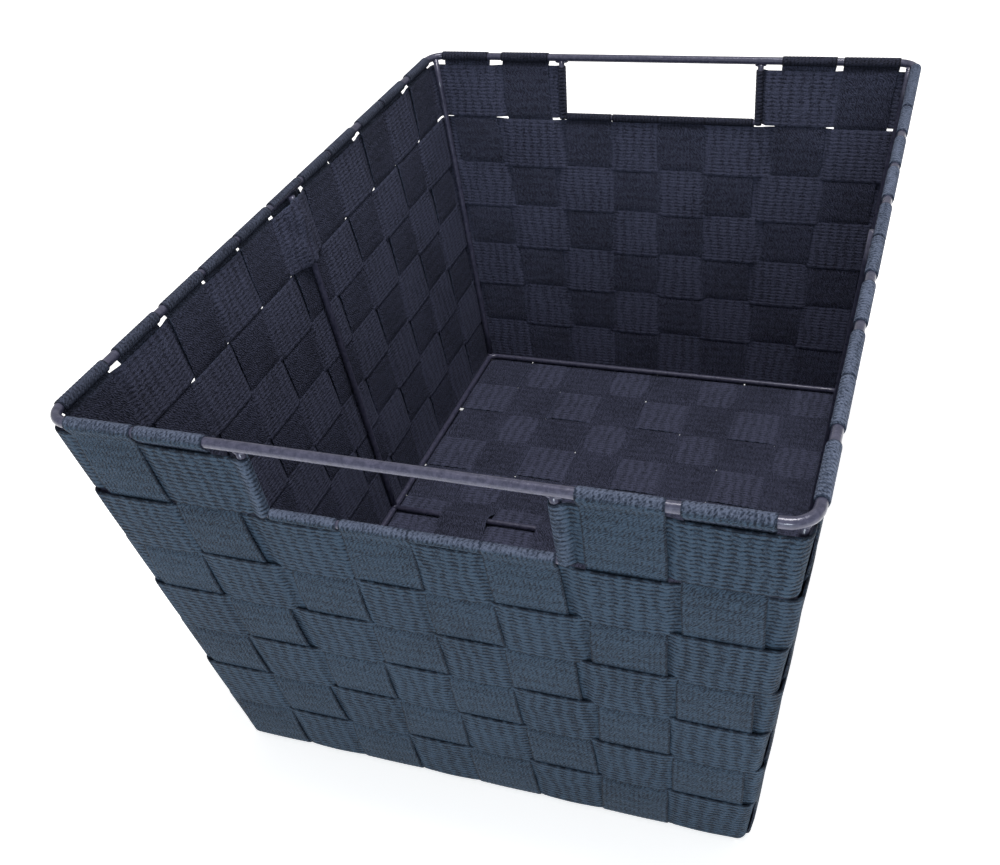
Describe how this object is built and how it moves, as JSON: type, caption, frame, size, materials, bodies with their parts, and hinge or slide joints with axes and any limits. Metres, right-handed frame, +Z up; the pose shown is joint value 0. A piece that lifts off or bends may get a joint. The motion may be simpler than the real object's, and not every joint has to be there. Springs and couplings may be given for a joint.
{
  "type": "woven strap storage bin",
  "caption": "Open rectangular storage bin of flat woven straps on a welded wire frame, with flared walls and a cut-out handle under the rim at each end.",
  "frame": {"origin": "middle of the underside, on the surface that the bin stands on", "axes": "+Z up through the open top, +Y along the long walls from the front handle to the back handle, +X to the right seen from the front handle"},
  "size_m": [0.3072, 0.4192, 0.2166],
  "materials": {
    "frame_wire": "dark grey gloss powder coat on round wire",
    "strap_webbing": "woven polypropylene webbing, dark navy blue, matt with a faint sheen on the ribs"
  },
  "bodies": {
    "root": {"rim_wire": "frame_wire", "base_wire": "frame_wire", "corner_post_front_left": "frame_wire", "corner_post_front_right": "frame_wire", "corner_post_back_left": "frame_wire", "corner_post_back_right": "frame_wire", "mid_post_left": "frame_wire", "mid_post_right": "frame_wire", "base_cross_wire": "frame_wire", "handle_wire_front": "frame_wire", "handle_wire_back": "frame_wire", "long_strap_1": "strap_webbing", "long_strap_2": "strap_webbing", "long_strap_3": "strap_webbing", "long_strap_4": "strap_webbing", "long_strap_5": "strap_webbing", "long_strap_6": "strap_webbing", "long_strap_7": "strap_webbing", "long_strap_8": "strap_webbing", "cross_strap_1": "strap_webbing", "cross_strap_2": "strap_webbing", "cross_strap_3": "strap_webbing", "cross_strap_4": "strap_webbing", "cross_strap_5": "strap_webbing", "cross_strap_6": "strap_webbing", "cross_strap_7": "strap_webbing", "cross_strap_8": "strap_webbing", "cross_strap_9": "strap_webbing", "cross_strap_10": "strap_webbing", "cross_strap_11": "strap_webbing", "ring_strap_1_left": "strap_webbing", "ring_strap_1_right": "strap_webbing", "ring_strap_2": "strap_webbing", "ring_strap_3": "strap_webbing", "ring_strap_4": "strap_webbing", "ring_strap_5": "strap_webbing", "ring_strap_6": "strap_webbing", "ring_strap_7": "strap_webbing"}
  },
  "joints": []
}
